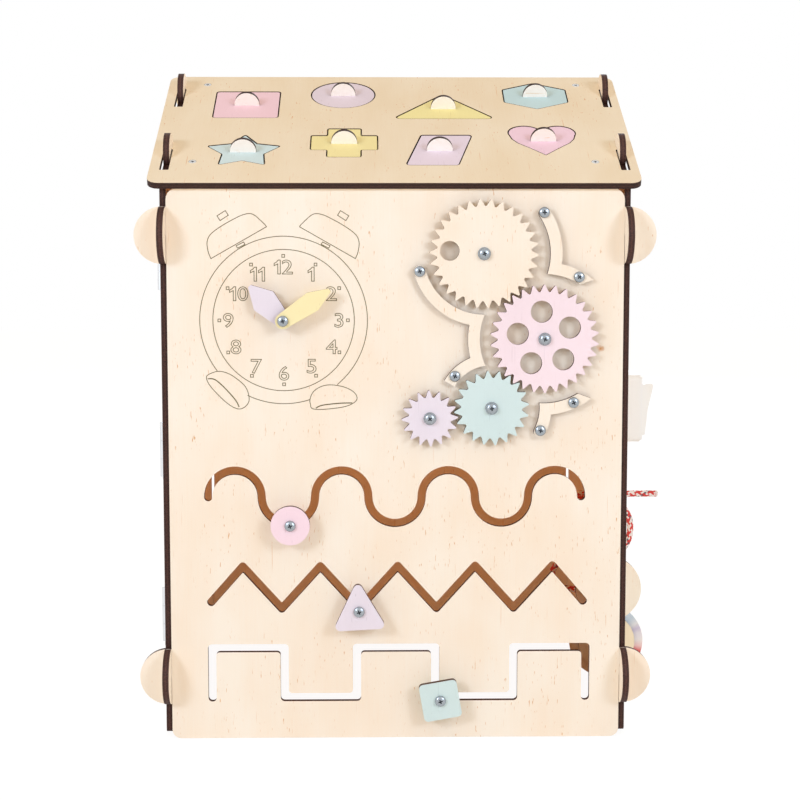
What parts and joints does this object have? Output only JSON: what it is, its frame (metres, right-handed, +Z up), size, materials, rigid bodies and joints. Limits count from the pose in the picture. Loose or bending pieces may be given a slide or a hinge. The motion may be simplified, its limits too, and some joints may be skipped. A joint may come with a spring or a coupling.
{
  "type": "wooden busy house",
  "caption": "House-shaped wooden busy board: hooked ply walls and gable roof with peg puzzle, clock, gear train, slot mazes, side doors, switch, lacing cord and thumb wheels.",
  "frame": {"origin": "middle of the front panel's bottom edge, halfway through its thickness, on the surface that the house stands on", "axes": "+Z up, -Y out of the front panel towards the child, +X to the right seen from the front"},
  "size_m": [0.4855, 0.4431, 0.5854],
  "materials": {
    "ply": "sanded birch ply with burnt laser-cut edges",
    "pink_paint": "matt water paint on birch ply",
    "lavender_paint": "matt water paint on birch ply",
    "turquoise_paint": "matt water paint on birch ply",
    "yellow_paint": "matt water paint on birch ply",
    "wheel_paint": "matt paint in coloured segments on birch ply",
    "steel": "zinc plated",
    "white_plastic": "moulded gloss",
    "braid": "braided polyester"
  },
  "bodies": {
    "root": {"front_panel": "ply", "back_panel": "ply", "left_wall": "ply", "right_wall": "ply", "front_roof": "ply", "back_roof": "ply", "puzzle_tray": "ply", "wood_screws": "steel", "clock_bolt": "steel", "gear_bolts": "steel", "gear_bushes": "steel", "panel_nuts": "steel", "left_guard": "ply", "upper_right_guard": "ply", "lower_right_guard": "ply", "guard_bolts": "steel", "wall_hinge_leaves": "steel", "switch_box": "white_plastic", "lacing_cord": "braid", "wheel_axles": "steel"},
    "square_peg": {"square_piece": "pink_paint", "square_grip": "ply"},
    "circle_peg": {"circle_piece": "lavender_paint", "circle_grip": "ply"},
    "triangle_peg": {"triangle_piece": "yellow_paint", "triangle_grip": "ply"},
    "hexagon_peg": {"hexagon_piece": "turquoise_paint", "hexagon_grip": "ply"},
    "star_peg": {"star_piece": "turquoise_paint", "star_grip": "ply"},
    "plus_peg": {"plus_piece": "yellow_paint", "plus_grip": "ply"},
    "slant_peg": {"slant_piece": "lavender_paint", "slant_grip": "ply"},
    "heart_peg": {"heart_piece": "pink_paint", "heart_grip": "ply"},
    "hour_hand": {"hour_hand": "lavender_paint"},
    "minute_hand": {"minute_hand": "yellow_paint"},
    "upper_gear": {"upper_gear": "ply"},
    "right_gear": {"right_gear": "pink_paint"},
    "lower_gear": {"lower_gear": "turquoise_paint"},
    "small_gear": {"small_gear": "lavender_paint"},
    "round_slider": {"round_slider": "steel"},
    "round_knob": {"round_knob": "pink_paint"},
    "triangle_slider": {"triangle_slider": "steel"},
    "triangle_knob": {"triangle_knob": "lavender_paint"},
    "square_slider": {"square_slider": "steel"},
    "square_knob": {"square_knob": "turquoise_paint"},
    "top_door": {"top_door": "ply", "top_hinge_leaf": "steel"},
    "middle_door": {"middle_door": "ply", "middle_hinge_leaf": "steel"},
    "bottom_door": {"bottom_door": "ply", "bottom_hinge_leaf": "steel"},
    "top_latch": {"top_latch": "ply"},
    "middle_latch": {"middle_latch": "ply"},
    "bottom_latch": {"bottom_latch": "ply"},
    "rocker": {"switch_rocker": "white_plastic"},
    "upper_wheel": {"upper_wheel": "ply"},
    "lower_wheel": {"lower_wheel": "wheel_paint"}
  },
  "joints": [
    {"name": "square_lift", "type": "slide", "parent": "root", "child": "square_peg", "axis": [0, -0.4602, 0.8878], "range_m": [0, 0.04]},
    {"name": "circle_lift", "type": "slide", "parent": "root", "child": "circle_peg", "axis": [0, -0.4602, 0.8878], "range_m": [0, 0.04]},
    {"name": "triangle_lift", "type": "slide", "parent": "root", "child": "triangle_peg", "axis": [0, -0.4602, 0.8878], "range_m": [0, 0.04]},
    {"name": "hexagon_lift", "type": "slide", "parent": "root", "child": "hexagon_peg", "axis": [0, -0.4602, 0.8878], "range_m": [0, 0.04]},
    {"name": "star_lift", "type": "slide", "parent": "root", "child": "star_peg", "axis": [0, -0.4602, 0.8878], "range_m": [0, 0.04]},
    {"name": "plus_lift", "type": "slide", "parent": "root", "child": "plus_peg", "axis": [0, -0.4602, 0.8878], "range_m": [0, 0.04]},
    {"name": "slant_lift", "type": "slide", "parent": "root", "child": "slant_peg", "axis": [0, -0.4602, 0.8878], "range_m": [0, 0.04]},
    {"name": "heart_lift", "type": "slide", "parent": "root", "child": "heart_peg", "axis": [0, -0.4602, 0.8878], "range_m": [0, 0.04]},
    {"name": "hour_turn", "type": "hinge", "parent": "root", "child": "hour_hand", "pos_m": [-0.0953, -0.008, 0.36372], "axis": [0, -1, 0], "continuous": true},
    {"name": "minute_turn", "type": "hinge", "parent": "root", "child": "minute_hand", "pos_m": [-0.0953, -0.008, 0.36372], "axis": [0, -1, 0], "continuous": true},
    {"name": "upper_gear_spin", "type": "hinge", "parent": "root", "child": "upper_gear", "pos_m": [0.0746, -0.008, 0.42022], "axis": [0, -1, 0], "continuous": true},
    {"name": "right_gear_spin", "type": "hinge", "parent": "root", "child": "right_gear", "pos_m": [0.12629, -0.008, 0.34802], "axis": [0, -1, 0], "continuous": true},
    {"name": "lower_gear_spin", "type": "hinge", "parent": "root", "child": "lower_gear", "pos_m": [0.08145, -0.008, 0.28915], "axis": [0, -1, 0], "continuous": true},
    {"name": "small_gear_spin", "type": "hinge", "parent": "root", "child": "small_gear", "pos_m": [0.0289, -0.008, 0.28036], "axis": [0, -1, 0], "continuous": true},
    {"name": "round_slide", "type": "hinge", "parent": "root", "child": "round_slider", "pos_m": [-0.0923, 0, 0.21199], "axis": [0, -1, 0], "range_deg": [-85, 80]},
    {"name": "round_spin", "type": "hinge", "parent": "round_slider", "child": "round_knob", "pos_m": [-0.0903, -0.014, 0.18917], "axis": [0, -1, 0], "continuous": true},
    {"name": "triangle_slide", "type": "slide", "parent": "root", "child": "triangle_slider", "axis": [0.6701, 0, 0.7423], "range_m": [0, 0.0497]},
    {"name": "triangle_spin", "type": "hinge", "parent": "triangle_slider", "child": "triangle_knob", "pos_m": [-0.0317, -0.014, 0.11452], "axis": [0, -1, 0], "continuous": true},
    {"name": "square_slide", "type": "slide", "parent": "root", "child": "square_slider", "axis": [1, 0, 0], "range_m": [-0.004, 0.0639]},
    {"name": "square_spin", "type": "hinge", "parent": "square_slider", "child": "square_knob", "pos_m": [0.0382, -0.014, 0.03612], "axis": [0, -1, 0], "continuous": true},
    {"name": "top_door_swing", "type": "hinge", "parent": "root", "child": "top_door", "pos_m": [-0.2026, 0.02675, 0.41247], "axis": [0, 0, 1], "range_deg": [0, 110]},
    {"name": "middle_door_swing", "type": "hinge", "parent": "root", "child": "middle_door", "pos_m": [-0.2026, 0.02675, 0.24962], "axis": [0, 0, 1], "range_deg": [0, 110]},
    {"name": "bottom_door_swing", "type": "hinge", "parent": "root", "child": "bottom_door", "pos_m": [-0.2026, 0.02675, 0.1034], "axis": [0, 0, 1], "range_deg": [0, 110]},
    {"name": "top_latch_turn", "type": "hinge", "parent": "root", "child": "top_latch", "pos_m": [-0.203, 0.1575, 0.41247], "axis": [-1, 0, 0], "range_deg": [-90, 90]},
    {"name": "middle_latch_turn", "type": "hinge", "parent": "root", "child": "middle_latch", "pos_m": [-0.203, 0.1575, 0.24962], "axis": [-1, 0, 0], "range_deg": [-90, 90]},
    {"name": "bottom_latch_turn", "type": "hinge", "parent": "root", "child": "bottom_latch", "pos_m": [-0.203, 0.1575, 0.1034], "axis": [-1, 0, 0], "range_deg": [-90, 90]},
    {"name": "rocker_tilt", "type": "hinge", "parent": "root", "child": "rocker", "pos_m": [0.227, 0.1625, 0.2735], "axis": [0, 1, 0], "range_deg": [-18, 0]},
    {"name": "upper_wheel_spin", "type": "hinge", "parent": "root", "child": "upper_wheel", "pos_m": [0.19725, 0.092, 0.111], "axis": [0, 1, 0], "continuous": true},
    {"name": "lower_wheel_spin", "type": "hinge", "parent": "root", "child": "lower_wheel", "pos_m": [0.19725, 0.104, 0.0595], "axis": [0, 1, 0], "continuous": true}
  ],
  "couplings": [
    {"joint": "right_gear_spin", "follows": "upper_gear_spin", "ratio": -1},
    {"joint": "lower_gear_spin", "follows": "upper_gear_spin", "ratio": 1.5},
    {"joint": "small_gear_spin", "follows": "upper_gear_spin", "ratio": -1.875}
  ]
}
